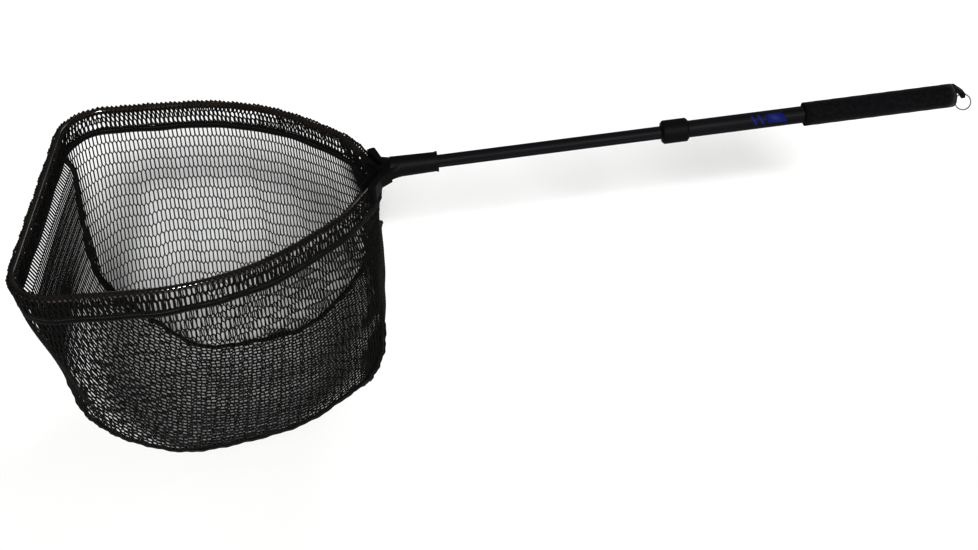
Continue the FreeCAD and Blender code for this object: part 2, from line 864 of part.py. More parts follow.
drill_inner_tube(next(node for node in nodes if node.Label == "inner_tube"))
make_yoke()
make_screws()
make_hoop_tube()
make_hem()
make_rim_tape()
make_side_panels()
make_gusset()
make_seam_tapes()

# ---- checks and export ---------------------------------------------------------------------------------

doc.recompute()
for item in doc.Objects:
    if "Invalid" in item.State or "Error" in item.State:
        raise RuntimeError(f"{item.Label} did not compute: {item.State}")
os.makedirs("parts", exist_ok=True)
for node in nodes:
    if node.Shape.isNull() or not node.Shape.isValid() or not node.Shape.Solids:
        raise RuntimeError(f"{node.Label} has no valid solid")
for node in nodes:
    node.Shape.exportStep(f"parts/{node.Label}.step")
    box = node.Shape.BoundBox
    print(f"{node.Label:16s} solids {len(node.Shape.Solids)} volume {node.Shape.Volume:10.0f} "
          f"x {box.XMin:8.1f} {box.XMax:8.1f} y {box.YMin:7.1f} {box.YMax:7.1f} "
          f"z {box.ZMin:7.1f} {box.ZMax:7.1f}")
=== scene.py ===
import math
import bpy
import numpy as np
from mathutils import Matrix, Vector


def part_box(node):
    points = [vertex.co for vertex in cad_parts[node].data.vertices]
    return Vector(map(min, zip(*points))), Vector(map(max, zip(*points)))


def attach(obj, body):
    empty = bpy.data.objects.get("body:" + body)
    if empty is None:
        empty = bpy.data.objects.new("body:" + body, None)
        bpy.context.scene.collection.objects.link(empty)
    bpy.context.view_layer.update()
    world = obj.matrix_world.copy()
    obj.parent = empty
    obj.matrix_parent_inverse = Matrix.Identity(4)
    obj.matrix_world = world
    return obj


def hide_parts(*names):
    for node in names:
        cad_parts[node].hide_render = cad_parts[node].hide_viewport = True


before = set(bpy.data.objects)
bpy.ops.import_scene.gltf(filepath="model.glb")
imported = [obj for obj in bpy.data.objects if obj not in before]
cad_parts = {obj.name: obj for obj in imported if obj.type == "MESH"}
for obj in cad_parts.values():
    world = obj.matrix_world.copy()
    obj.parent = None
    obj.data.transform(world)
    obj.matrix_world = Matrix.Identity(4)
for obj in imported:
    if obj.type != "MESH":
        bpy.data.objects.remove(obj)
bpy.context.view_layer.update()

# ---- handle tubes ------------------------------------------------------------------------------
# Two drawn aluminium tubes, satin black anodised, one sliding in the other. The inner one has
# four shallow flutes. Drawing leaves faint lines along the tube, and sliding rubs them brighter.


class Finish:
    """One surface finish: a shader with its own object coordinates, grown node by node."""

    def __init__(self, name, roughness, metallic=0.0, coat=0.0, sheen=0.0, specular=0.5):
        self.material = bpy.data.materials.new(name)
        self.material.use_nodes = True
        self.tree = self.material.node_tree
        self.shader = self.tree.nodes["Principled BSDF"]
        self.shader.inputs["Roughness"].default_value = roughness
        self.shader.inputs["Metallic"].default_value = metallic
        self.shader.inputs["Coat Weight"].default_value = coat
        self.shader.inputs["Coat Roughness"].default_value = 0.12
        self.shader.inputs["Sheen Weight"].default_value = sheen
        self.shader.inputs["Sheen Roughness"].default_value = 0.4
        self.shader.inputs["Specular IOR Level"].default_value = specular
        self.place = self.add("ShaderNodeTexCoord").outputs["Object"]

    def add(self, kind, **inputs):
        node = self.tree.nodes.new(kind)
        for key, value in inputs.items():
            socket = node.inputs[key.replace("_", " ")]
            if isinstance(value, bpy.types.NodeSocket):
                self.tree.links.new(value, socket)
            else:
                socket.default_value = value
        return node

    def stretched(self, along, across, upward):
        """Object coordinates counted in grains per metre along each axis."""
        mapping = self.add("ShaderNodeMapping", Vector=self.place)
        mapping.inputs["Scale"].default_value = (along, across, upward)
        return mapping.outputs["Vector"]

    def grain(self, grains, detail=2.0):
        place = self.stretched(*grains)
        noise = self.add("ShaderNodeTexNoise", Vector=place, Scale=1.0, Detail=detail)
        return noise.outputs["Fac"]

    def colours(self, factor, dark, light, low=0.35, high=0.65):
        """Mixes two colours by a factor, which turns from dark to light between low and high."""
        ramp = self.add("ShaderNodeValToRGB", Fac=factor)
        for stop, position, colour in zip(ramp.color_ramp.elements, (low, high), (dark, light)):
            stop.position = position
            stop.color = (*colour, 1)
        self.tree.links.new(ramp.outputs["Color"], self.shader.inputs["Base Color"])
        return self

    def rough(self, factor, low, high):
        span = self.add("ShaderNodeMapRange", Value=factor, To_Min=low, To_Max=high)
        self.tree.links.new(span.outputs["Result"], self.shader.inputs["Roughness"])
        return self

    def raised(self, height, depth, strength=0.6):
        bump = self.add("ShaderNodeBump", Height=height, Distance=depth, Strength=strength)
        self.tree.links.new(bump.outputs["Normal"], self.shader.inputs["Normal"])
        return self


def dress(node, finish):
    """Gives a carried-over part its finish."""
    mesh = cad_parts[node].data
    mesh.materials.clear()
    mesh.materials.append(finish.material)


anodised = Finish("satin_black_anodising", 0.5, specular=0.05)
draw_lines = anodised.grain((6, 1400, 1400), detail=3)
anodised.colours(draw_lines, (0.003, 0.003, 0.0035), (0.009, 0.009, 0.011))
anodised.rough(anodised.grain((25, 500, 500)), 0.42, 0.6)
anodised.raised(draw_lines, 0.00004)
for tube in ("outer_tube", "inner_tube"):
    dress(tube, anodised)

# ---- blue flash on the outer tube --------------------------------------------------------------
# Pad-printed mark in dark blue ink: a slanted bar with two short bars behind it, no letters.
# It covers about a fifth of the way round the tube, from the near side up towards the top.


def sheet_mesh(name, grid, finish, thickness=0.0, closed=False):
    """A mesh from rows of points, with a thickness put on both sides where one is given."""
    rows, columns = len(grid), len(grid[0])
    points = [tuple(map(float, point)) for row in grid for point in row]
    around = columns if closed else columns - 1
    faces = [(r * columns + c, r * columns + (c + 1) % columns,
              (r + 1) * columns + (c + 1) % columns, (r + 1) * columns + c)
             for r in range(rows - 1) for c in range(around)]
    mesh = bpy.data.meshes.new(name)
    mesh.from_pydata(points, [], faces)
    mesh.materials.append(finish.material)
    mesh.polygons.foreach_set("use_smooth", [True] * len(mesh.polygons))
    piece = bpy.data.objects.new(name, mesh)
    bpy.context.collection.objects.link(piece)
    if thickness:
        solid = piece.modifiers.new("thickness", "SOLIDIFY")
        solid.thickness = thickness
        solid.offset = 0
    return piece


blue_ink = Finish("blue_pad_print", 0.55, specular=0.1)
blue_ink.colours(blue_ink.grain((900, 900, 900), detail=4), (0.004, 0.006, 0.05),
                 (0.008, 0.014, 0.11))

tube_radius = 0.0107
ink_radius = tube_radius + 0.00008
ink_thickness = 0.00006
bar_places_and_lengths = ((-0.118, 0.024), (-0.146, 0.005), (-0.155, 0.004))
bar_from, bar_turn, bar_slant, bar_steps = -90, 70, 0.006, 12
for number, (start, length) in enumerate(bar_places_and_lengths):
    bar = []
    for step in range(bar_steps + 1):
        turn = math.radians(bar_from + bar_turn * step / bar_steps)
        slant = bar_slant * step / bar_steps
        bar.append([(start - length * share - slant, math.sin(turn) * ink_radius,
                     math.cos(turn) * ink_radius) for share in (0, 0.5, 1)])
    printed = sheet_mesh(f"blue_flash_{number}", bar, blue_ink, thickness=ink_thickness)
    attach(printed, "handle")

# ---- foam grip ---------------------------------------------------------------------------------
# Closed-cell foam sleeve, ground round and pushed over the tube with glue. Its end faces are
# dished a little and keep a sharp outer edge, and the cut cells leave fine pores all over.


def turned(name, profile, finish, sides=96):
    """A round piece about the handle's axis, from (place along the axis, radius) points."""
    angles = [2 * math.pi * side / sides for side in range(sides)]
    rows = [[(x, r * math.sin(a), r * math.cos(a)) for a in angles] for x, r in profile]
    return sheet_mesh(name, rows, finish, closed=True)


foam = Finish("black_foam", 0.92, sheen=0.06, specular=0.06)
pores = foam.add("ShaderNodeTexVoronoi", Vector=foam.stretched(1500, 1500, 1500), Scale=1.0)
foam.colours(foam.grain((260, 260, 260), detail=6), (0.0025, 0.0025, 0.003),
             (0.006, 0.006, 0.007))
foam.raised(pores.outputs["Distance"], 0.00025, strength=0.8)

grip_low, grip_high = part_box("grip_foam")
grip_radius = grip_high.z
grip_run = grip_high.x - grip_low.x
dish = 0.0022
ripple_steps, ripple_depth, ripple_turn = 24, 0.00012, 2.1


def grip_end(end, inward, turns):
    """The outer part of an end face, between the dish's floor and the sharp outer edge."""
    shares = [1 - math.sin(math.radians(degrees)) for degrees in turns]
    return [(end + inward * dish * share, grip_radius - dish * share) for share in shares]


grip_profile = [(grip_low.x, tube_radius)]
grip_profile += grip_end(grip_low.x, 1, range(0, 91, 15))
for step in range(1, ripple_steps):
    x = grip_low.x + dish + (grip_run - 2 * dish) * step / ripple_steps
    grip_profile.append((x, grip_radius - ripple_depth * math.sin(step * ripple_turn)))
grip_profile += grip_end(grip_high.x, -1, range(90, -1, -15))
grip_profile.append((grip_high.x, tube_radius))
grip = turned("foam_grip", grip_profile, foam)
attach(grip, "handle")
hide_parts("grip_foam")

# ---- butt cap and lanyard ring -----------------------------------------------------------------
# Moulded cap glued in the tube's end, with a lug below a sloping hood. A ring of plated steel
# wire hangs in the lug's eye.

cap_plastic = Finish("black_cap_moulding", 0.5, specular=0.05)
cap_plastic.colours(cap_plastic.grain((300, 300, 300)), (0.003, 0.003, 0.003),
                    (0.007, 0.007, 0.007))
cap_plastic.raised(cap_plastic.grain((2600, 2600, 2600)), 0.00006)
dress("end_cap", cap_plastic)

plated_wire = Finish("plated_ring_wire", 0.4, metallic=0.9)
plated_wire.colours(plated_wire.grain((700, 700, 700)), (0.05, 0.05, 0.05), (0.12, 0.12, 0.12))
dress("split_ring", plated_wire)

# ---- twist lock --------------------------------------------------------------------------------
# Near-black moulded nut over a body glued on the tube's mouth. Turning it squeezes a white
# split collet on the inner tube. The nut has an even matt grain from a spark-eroded mould.

nut_plastic = Finish("dark_grey_moulding", 0.55, specular=0.04)
nut_plastic.colours(nut_plastic.grain((900, 900, 900)), (0.003, 0.003, 0.0035),
                    (0.006, 0.006, 0.007))
nut_plastic.raised(nut_plastic.grain((3200, 3200, 3200)), 0.00007)
dress("lock_nut", nut_plastic)
dress("lock_body", cap_plastic)

acetal = Finish("white_acetal", 0.4)
acetal.colours(acetal.grain((150, 150, 150)), (0.7, 0.7, 0.68), (0.82, 0.82, 0.8))
for bearing in ("lock_collet", "guide_bush"):
    dress(bearing, acetal)

# ---- yoke and its screws -----------------------------------------------------------------------
# One moulding in glass-filled nylon: a tapered socket that forks into two open channels for the
# hoop's ends. Three countersunk steel screws come up from below.

yoke_nylon = Finish("glass_filled_nylon", 0.5, specular=0.06)
fibres = yoke_nylon.grain((900, 2600, 2600), detail=4)
yoke_nylon.colours(yoke_nylon.grain((700, 700, 700)), (0.0025, 0.0025, 0.0027),
                   (0.006, 0.0058, 0.0056))
yoke_nylon.raised(fibres, 0.00008)
yoke_nylon.rough(fibres, 0.42, 0.62)
dress("yoke", yoke_nylon)

screw_steel = Finish("plated_screw_steel", 0.3, metallic=1.0)
screw_steel.colours(screw_steel.grain((900, 900, 900)), (0.3, 0.3, 0.3), (0.55, 0.55, 0.54))
for screws in ("yoke_screw", "hoop_screws"):
    dress(screws, screw_steel)

# ---- hoop --------------------------------------------------------------------------------------
# Aluminium tube bent cold to the hoop's outline and powder coated gloss black. The coat has the
# slight orange peel of baked powder.

hoop_coat_painted_warm_reflection = Finish("gloss_black_coat_painted_warm_reflection", 0.2, metallic=0.5, coat=1.0)
# The coat's colours are tinted warm so that its half-metal reflections come out warm: a painted
# warm reflection, standing in for a warm lamp.
hoop_coat_painted_warm_reflection.colours(hoop_coat_painted_warm_reflection.grain((60, 60, 60)), (0.014, 0.010, 0.007), (0.026, 0.019, 0.013))
hoop_coat_painted_warm_reflection.raised(hoop_coat_painted_warm_reflection.grain((420, 420, 420)), 0.00005)
dress("hoop_tube", hoop_coat_painted_warm_reflection)

# ---- hem ---------------------------------------------------------------------------------------
# A band of netting folded once over the hoop tube before the hoop goes in the yoke. Its two
# edges hang together below the tube, down to the rim tape that is sewn through them.

fork = Vector((-0.6215, 0, -0.0084))
hoop_tilt = math.radians(3.7)
hoop_place = np.array(Matrix.Translation(fork) @ Matrix.Rotation(hoop_tilt, 4, "Y"))
hoop_reach = 0.445
half_width = 0.209
fork_bend, elbow_bend, shoulder_bend, corner_bend = 0.060, 0.120, 0.270, 0.058
arm_angle, shoulder_angle = 62, 42
arm_run = 0.0800
arm_ahead, arm_aside = 0.014, 0.004


def in_row(points):
    """Points of the hoop's own frame, put in the row's frame."""
    points = np.asarray(points, float)
    return points @ hoop_place[:3, :3].T + hoop_place[:3, 3]


def running_length(line):
    """The way along a line of points, from its first point to each of them."""
    gaps = np.linalg.norm(np.diff(line, axis=0), axis=1)
    return np.concatenate(([0], np.cumsum(gaps)))


def points_along(distance, lengths, line):
    """The points of a line at some distances along it."""
    return np.stack([np.interp(distance, lengths, line[:, i]) for i in range(line.shape[1])], -1)


class HoopWalk:
    """The hoop's middle line in its own plane, from the fork round the far side to the front."""

    step = 0.001

    def __init__(self):
        self.points, self.outs = [], []
        self.place, self.lean = np.array((0.0, 0.0)), math.radians(90)
        spent = self.set_at_fork(math.radians(arm_angle))
        self.bend(fork_bend, arm_angle)
        self.straight(arm_run - spent)
        self.bend(elbow_bend, shoulder_angle)
        turn = math.radians(shoulder_angle)
        aside = half_width - self.place[1] - shoulder_bend * (1 - math.cos(turn))
        self.straight(aside / math.sin(turn))
        self.bend(shoulder_bend, 0)
        self.straight(self.place[0] + hoop_reach - corner_bend)
        self.bend(corner_bend, -90)
        self.straight(self.place[1])
        self.points, self.outs = np.array(self.points), np.array(self.outs)
        self.along = running_length(self.points)
        self.length = self.along[-1]

    def set_at_fork(self, arm):
        """Starts the line so that the fork's bend runs into the arm, and gives what that spends."""
        across = fork_bend * math.cos(arm)
        spent = (across - arm_aside) / math.sin(arm)
        foot = -arm_ahead - math.cos(arm) * spent
        self.place[0] = foot - fork_bend * math.sin(arm) + fork_bend
        return spent

    def outward(self):
        return np.array((math.sin(self.lean), math.cos(self.lean)))

    def note(self):
        self.points.append(self.place.copy())
        self.outs.append(self.outward())

    def straight(self, length):
        ahead = np.array((-math.cos(self.lean), math.sin(self.lean)))
        start = self.place.copy()
        count = max(2, int(length / self.step))
        for share in np.arange(count) / count:
            self.place = start + ahead * length * share
            self.note()
        self.place = start + ahead * length
        if abs(self.place[1]) < 1e-9:
            self.note()

    def bend(self, radius, degrees):
        centre = self.place - self.outward() * radius
        first, last = self.lean, math.radians(degrees)
        count = max(2, int(abs(last - first) * radius / self.step))
        for share in np.arange(count) / count:
            self.lean = first + (last - first) * share
            self.place = centre + self.outward() * radius
            self.note()
        self.lean = last
        self.place = centre + self.outward() * radius

    def at(self, distance):
        """Place and outward direction at distances from the fork, on round the near side."""
        distance = np.asarray(distance, float)
        near = distance > self.length
        folded = np.where(near, 2 * self.length - distance, distance)
        place = points_along(folded, self.along, self.points)
        out = points_along(folded, self.along, self.outs)
        mirror = np.where(near, -1.0, 1.0)
        place[..., 1] *= mirror
        out[..., 1] *= mirror
        return place, out


hoop_walk = HoopWalk()


def wander(distance, waves):
    """A slow uneven wave along a length, made of a few sines: (height, wavelength, start)."""
    return sum(height * np.sin(2 * math.pi * distance / length + start)
               for height, length, start in waves)


shortest_run = 1e-5
knot_overlap = 0.7
atlas_margin = 0.1


def twine(name, starts, ends, thickness, finish):
    """Netting: every run of twine between two knots is a thin four-sided bar."""
    starts, ends = in_row(starts), in_row(ends)
    runs = ends - starts
    lengths = np.linalg.norm(runs, axis=1, keepdims=True)
    kept = lengths[:, 0] > shortest_run
    starts, ends, runs, lengths = starts[kept], ends[kept], runs[kept], lengths[kept]
    radius = np.broadcast_to(np.asarray(thickness, float), kept.shape)[kept][:, None] / 2
    ways = runs / lengths
    starts = starts - ways * radius * knot_overlap
    ends = ends + ways * radius * knot_overlap
    helper = np.where(np.abs(ways[:, 1:2]) < 0.8, (0.0, 1.0, 0.0), (1.0, 0.0, 0.0))
    side = np.cross(ways, helper)
    side /= np.linalg.norm(side, axis=1, keepdims=True)
    up = np.cross(ways, side)
    corners = []
    for end in (starts, ends):
        for turn in range(4):
            angle = math.pi / 4 + turn * math.pi / 2
            corners.append(end + (side * math.cos(angle) + up * math.sin(angle)) * radius)
    points = np.stack(corners, axis=1).reshape(-1, 3)
    count = len(starts)
    base = np.arange(count)[:, None, None] * 8
    quads = np.array([(t, (t + 1) % 4, (t + 1) % 4 + 4, t + 4) for t in range(4)])[None]
    faces = (base + quads).reshape(-1, 4)
    mesh = bpy.data.meshes.new(name)
    mesh.vertices.add(len(points))
    mesh.vertices.foreach_set("co", points.astype(np.float32).ravel())
    mesh.loops.add(faces.size)
    mesh.loops.foreach_set("vertex_index", faces.astype(np.int32).ravel())
    mesh.polygons.add(len(faces))
    mesh.polygons.foreach_set("loop_start", np.arange(0, faces.size, 4, dtype=np.int32))
    mesh.polygons.foreach_set("use_smooth", np.ones(len(faces), dtype=bool))
    mesh.update(calc_edges=True)
    side_count = math.ceil(math.sqrt(count))
    cell = 1 / side_count
    atlas = mesh.uv_layers.new(name="OFBake")
    index = np.arange(count)
    corner = np.stack((index % side_count, index // side_count), -1) * cell
    strip = np.array([[(t / 4, 0), ((t + 1) / 4, 0), ((t + 1) / 4, 1), (t / 4, 1)]
                      for t in range(4)]) * (1 - 2 * atlas_margin) + atlas_margin
    uv = corner[:, None, None, :] + strip[None] * cell
    atlas.data.foreach_set("uv", uv.astype(np.float32).ravel())
    mesh.materials.append(finish.material)
    piece = bpy.data.objects.new(name, mesh)
    bpy.context.collection.objects.link(piece)
    return piece


upright_twine = 0.0021
slant_twine = 0.0017


def mesh_twines(columns, rows, place):
    """Knot to knot runs of hexagonal netting over a band of columns and rows.

    place(column, row, foot) gives the knots at the head (foot False) or the foot of the upright
    run of each mesh, and which of them exist. Head and foot are joined by an upright run, and a
    foot joins the two heads below it on either side.
    """
    column, row = np.meshgrid(columns, rows, indexing="ij")
    used = (column + row) % 2 == 0
    head, head_there = place(column, row, False)
    foot, foot_there = place(column, row, True)
    uprights = used & (head_there | foot_there)
    starts, ends = [head[uprights]], [foot[uprights]]
    thick = [np.full(uprights.sum(), upright_twine)]
    for way in (-1, 1):
        here = (slice(0, -1) if way == 1 else slice(1, None), slice(0, -1))
        there = (slice(1, None) if way == 1 else slice(0, -1), slice(1, None))
        pair = used[here] & foot_there[here] & head_there[there]
        starts.append(foot[here][pair])
        ends.append(head[there][pair])
        thick.append(np.full(pair.sum(), slant_twine))
    return np.concatenate(starts), np.concatenate(ends), np.concatenate(thick)


net_twine = Finish("black_net_twine", 0.62, sheen=0.01, specular=0.1)
net_twine.colours(net_twine.grain((420, 420, 420), detail=3), (0.001, 0.001, 0.001),
                  (0.007, 0.0062, 0.0052))
net_twine.rough(net_twine.grain((1800, 1800, 1800)), 0.45, 0.75)

half_mesh = 0.0031
upright = 0.0118
row_pitch = 0.0156
arm_end = 0.0475
sleeve_radius = 0.0052
hem_foot = -0.0285
sleeve_profile = [(-0.0012, hem_foot), (-0.0016, -0.019), (-0.0030, -0.011), (-0.0046, -0.005)]
for degrees in range(-85, 86, 17):
    lean = math.radians(degrees)
    sleeve_profile.append((sleeve_radius * math.sin(lean), sleeve_radius * math.cos(lean)))
sleeve_profile += [(-outward, height) for outward, height in sleeve_profile[3::-1]]
sleeve_profile = np.array(sleeve_profile)
profile_along = running_length(sleeve_profile)
profile_length = profile_along[-1]
hem_row = profile_length / 5
hem_upright = 0.74
hem_twine = 1.25
hem_ease = 0.0004
arm_slack, arm_slack_run = 0.0022, 0.05
below_arms = -0.0125
hem_gathers = [(0.0006, 0.031, 0), (0.0004, 0.017, 1), (0.0005, 0.083, 2)]


def hem_knots(column, row, foot):
    """Knots up one side of the hoop tube, over it and down; in the arms only those below them."""
    along = column * half_mesh + wander(row * 1.7 + column * 0.03, [(0.0004, 3.1, 0)])
    up = np.clip(row * hem_row + (hem_row * hem_upright if foot else 0), 0, profile_length)
    place, out = hoop_walk.at(along)
    offset = np.interp(up, profile_along, sleeve_profile[:, 0])
    height = np.interp(up, profile_along, sleeve_profile[:, 1])
    past_arm = np.minimum(along - arm_end, 2 * hoop_walk.length - along - arm_end)
    slack = arm_slack * np.exp(-(np.maximum(past_arm, 0) / arm_slack_run) ** 2)
    gather = wander(along, hem_gathers)
    offset = offset + np.sign(offset) * hem_ease + gather + np.where(offset > 0, slack, 0)
    points = np.concatenate((place + out * offset[..., None], height[..., None]), -1)
    there = (past_arm > 0) | ((height < below_arms) & (past_arm > -arm_end))
    return points, there


side_columns = int(hoop_walk.length / half_mesh)
for side, columns in (("far", np.arange(2, side_columns + 1)),
                      ("near", np.arange(side_columns, 2 * side_columns - 1))):
    starts, ends, thick = mesh_twines(columns, np.arange(0, 7), hem_knots)
    hem = twine(f"hem_{side}", starts, ends, thick * hem_twine, net_twine)
    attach(hem, "head")
    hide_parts("net_hem")

# ---- rim tape ----------------------------------------------------------------------------------
# Black woven tape folded over the hem's foot and the bag's edge, and sewn through with two rows of
# lockstitch.

tape_weave = Finish("black_woven_tape", 0.85, sheen=0.01, specular=0.08)
ribs = tape_weave.add("ShaderNodeTexWave", Vector=tape_weave.stretched(900, 900, 900), Scale=1.0,
                      Distortion=1.5)
tape_weave.colours(tape_weave.grain((500, 500, 500), detail=5), (0.0015, 0.0015, 0.0015),
                   (0.006, 0.0058, 0.0055))
tape_weave.raised(ribs.outputs["Fac"], 0.0002)

thread = Finish("black_sewing_thread", 0.5, sheen=0.05)
thread.colours(thread.grain((2500, 2500, 2500)), (0.005, 0.005, 0.005), (0.016, 0.0155, 0.015))


def loop_around(points, rings, section, name, finish):
    """A tape along a line: the section's (out, up) corners set round every point."""
    rows = [[point + out * o + up * u for o, u in section]
            for point, out, up in zip(points, *rings)]
    return sheet_mesh(name, rows, finish, closed=True)


def folded_section(width, height, corner=0.35):
    """A flattened round: the cross-section of a tape folded over an edge."""
    section, sides = [], 14
    for side in range(sides):
        angle = 2 * math.pi * side / sides
        c, s = math.cos(angle), math.sin(angle)
        section.append((math.copysign(abs(c) ** corner, c) * width / 2,
                        math.copysign(abs(s) ** corner, s) * height / 2))
    return section


rim_middle = -0.0325
around = np.linspace(0, 2 * hoop_walk.length, 900)
rim_place, rim_out = hoop_walk.at(around)
sway = wander(around, [(0.0006, 0.19, 0), (0.0004, 0.07, 1)])
rim_line = np.column_stack((rim_place + rim_out * sway[:, None],
                            rim_middle + wander(around, [(0.0007, 0.16, 1), (0.0004, 0.06, 0)])))
rim_points = in_row(rim_line)
outs = np.column_stack((rim_out, np.zeros(len(rim_out)))) @ hoop_place[:3, :3].T
ups = np.broadcast_to(hoop_place[:3, 2], outs.shape)
tape_width = 0.0036
rim = loop_around(rim_points, (outs, ups), folded_section(tape_width, 0.0085), "rim_binding",
                  tape_weave)
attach(rim, "head")
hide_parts("rim_tape")


thread_thickness = 0.0006
thread_out = 0.0019


def stitches(name, line, spacing, length, finish):
    """Short bars of thread laid along a line of the row's frame."""
    along = running_length(line)
    starts = np.arange(0, along[-1] - length, spacing)
    back = np.linalg.inv(hoop_place)
    head, foot = (points_along(places, along, line) @ back[:3, :3].T + back[:3, 3]
                  for places in (starts, starts + length))
    return twine(name, head, foot, thread_thickness, finish)


rim_sides = {"out": 1, "in": -1}
rim_rows = {"top": 0.0026, "foot": -0.0026}
for side, way in rim_sides.items():
    for row, height in rim_rows.items():
        line = rim_points + outs * thread_out * way + ups * height
        sewn = stitches(f"rim_stitches_{side}_{row}", line, 0.0042, 0.0028, thread)
        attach(sewn, "head")

# ---- bag sides ---------------------------------------------------------------------------------
# Two D-shaped panels of hexagonal netting, machine made without knots. Each hangs straight down
# from the rim tape and then curves in to the seam, so its columns stay upright and even.

seam_stations = np.array([
    (0.98, 0.70, 0.15, 0.00), (0.98, 0.54, 0.52, 0.11), (0.95, 0.60, 0.70, 0.18),
    (0.90, 0.61, 0.80, 0.24), (0.83, 0.59, 0.89, 0.30), (0.70, 0.52, 1.00, 0.41),
    (0.53, 0.50, 0.99, 0.53), (0.33, 0.49, 0.92, 0.65), (0.16, 0.56, 0.73, 0.77),
    (0.10, 0.68, 0.60, 0.84), (0.06, 0.61, 0.48, 0.90), (0.07, 0.36, 0.36, 0.95),
    (0.10, 0.06, 0.24, 0.98)])
bag_depth = 0.352
bag_size = np.array((-hoop_reach, half_width, -bag_depth, 1.0))
rim_foot = -0.0365
side_pull = (0.12, 0.12, 0.5)
drop_steps = 59


def rounded(stations, count):
    """A smooth run through stations: each stretch eases from one to the next (Catmull-Rom)."""
    before = np.vstack((2 * stations[0] - stations[1], stations, 2 * stations[-1] - stations[-2]))
    places = np.linspace(0, len(stations) - 1 - 1e-9, count)
    i = places.astype(int)
    t = (places - i)[:, None]
    a, b, c, d = (before[i + k] for k in range(4))
    return 0.5 * (2 * b + (c - a) * t + (2 * a - 5 * b + 4 * c - d) * t * t
                  + (3 * b - a - 3 * c + d) * t ** 3)


seam_run = rounded(seam_stations * bag_size, 420)
seam_line = seam_run[:, :3]
rim_share = np.clip(seam_run[:, 3], 0, 1)
far_arc = hoop_walk.length - (half_width - corner_bend)
rim_at, _ = hoop_walk.at(far_arc * (1 - rim_share))
rim_edge = np.column_stack((rim_at, np.full(len(rim_at), rim_foot)))

drop = np.linspace(0, 1, drop_steps + 1)[None, :, None]
pull = rim_edge + (seam_line - rim_edge) * side_pull
panel = ((1 - drop) ** 2 * rim_edge[:, None] + 2 * drop * (1 - drop) * pull[:, None]
         + drop ** 2 * seam_line[:, None])


panel_middle = -0.27
closing_back, closing_front = 0.8, 1.6
side_folds = [(0.0035, 0.061, 0.4), (0.0025, 0.113, 1.9), (0.0015, 0.029, 0)]
fold_share, fold_depth, fold_lean = 0.9, 0.3, 0.15
belly, belly_depth, belly_width, belly_from = 0.007, 0.11, 0.07, -0.12
edge_reach = 1.2 * half_mesh


def section_at(depth):
    """The panel's level line at a depth: its points, and their way along from its middle."""
    inside = seam_line[:, 2] <= depth
    if inside.sum() < 2:
        return None
    chosen = panel[inside]
    share = np.array([np.interp(-depth, -column[:, 2], drop[0, :, 0]) for column in chosen])
    low = np.clip((share * drop_steps).astype(int), 0, drop_steps - 1)
    part = (share * drop_steps - low)[:, None]
    rows = np.arange(len(chosen))
    points = chosen[rows, low] * (1 - part) + chosen[rows, low + 1] * part
    along = running_length(points)
    return points, along - np.interp(panel_middle, points[:, 0], along)


def side_knots(column, row, foot):
    """Knots of a side panel, row by row down its level lines; a missing one stays at zero."""
    points = np.zeros(column.shape + (3,))
    there = np.zeros(column.shape, bool)
    for k in range(column.shape[1]):
        depth = rim_foot + 0.001 - row[0, k] * row_pitch - (upright if foot else 0)
        section = section_at(depth)
        if section is None:
            continue
        line, along = section
        want = column[:, k] * half_mesh
        want = np.where(want > 0, closing_back * (1 - np.exp(-want / closing_back)),
                        closing_front * (np.exp(want / closing_front) - 1))
        there[:, k] = (want > along[0] - edge_reach) & (want < along[-1] + edge_reach)
        points[:, k] = points_along(np.clip(want, along[0], along[-1]), along, line)
    x, below = points[..., 0], rim_foot - points[..., 2]
    fold = wander(x + fold_lean * points[..., 2], side_folds)
    points[..., 1] += fold * np.sin(math.pi * np.clip(below / fold_depth, 0, 1)) * fold_share
    under_fork = np.sin(math.pi * np.clip(below / belly_depth, 0, 1))
    middle = np.exp(-(points[..., 1] / belly_width) ** 2)
    points[..., 0] += belly * under_fork * middle * (x > belly_from)
    return points, there


side_levels = np.arange(0, 22)
side_spread = np.arange(-130, 231)
starts, ends, thick = mesh_twines(side_spread, side_levels, side_knots)
found = (np.abs(starts).sum(1) > 0) & (np.abs(ends).sum(1) > 0)
starts, ends, thick = starts[found], ends[found], thick[found]
for name, node, mirror in (("side_netting_far", "net_side_far", 1),
                           ("side_netting_near", "net_side_near", -1)):
    wall = twine(name, starts * (1, mirror, 1), ends * (1, mirror, 1), thick, net_twine)
    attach(wall, "head")
    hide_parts(node)

# ---- gusset ------------------------------------------------------------------------------------
# One long strip of the same netting from the front bar down, under and up to the fork. It is
# sewn to both sides along the seams, and sags a little between them.

front_foot = np.array((-hoop_reach, 0.151, rim_foot))
gusset_edge = np.vstack((front_foot[None], seam_line))
gusset_along = running_length(gusset_edge[:, [0, 2]])
gusset_length = gusset_along[-1]
gusset_way = np.gradient(gusset_edge[:, [0, 2]], axis=0)
gusset_way /= np.linalg.norm(gusset_way, axis=1, keepdims=True)
gusset_rows = int(gusset_length / row_pitch)
gusset_sag = 0.006
sag_waves = [(0.0012, 0.14, 0.7)]
cross_waves = [(0.0006, 0.067, 0.3), (0.0008, 0.103, 1.2)]
cross_waves_from, cross_waves_run = 0.30, 0.12


def gusset_knots(column, row, foot):
    """Knots of the gusset between its two seams, sagging outwards in between."""
    along = np.clip(row * row_pitch + (upright if foot else 0), 0, gusset_length)
    edge = points_along(along, gusset_along, gusset_edge)
    way = points_along(along, gusset_along, gusset_way)
    want = column * half_mesh
    half = edge[..., 1]
    there = np.abs(want) < half + edge_reach
    y = np.clip(want, -half, half)
    share = np.clip(1 - (y / np.maximum(half, 0.001)) ** 2, 0, 1)
    end = np.sin(math.pi * np.clip(along / gusset_length, 0, 1)) ** 0.5
    under = np.clip((along - cross_waves_from) / cross_waves_run, 0, 1)
    sag = share * end * (gusset_sag + under * wander(y + along * 0.1, cross_waves)
                         + wander(along, sag_waves))
    points = np.stack((edge[..., 0] + way[..., 1] * sag, y, edge[..., 2] - way[..., 0] * sag), -1)
    return points, there


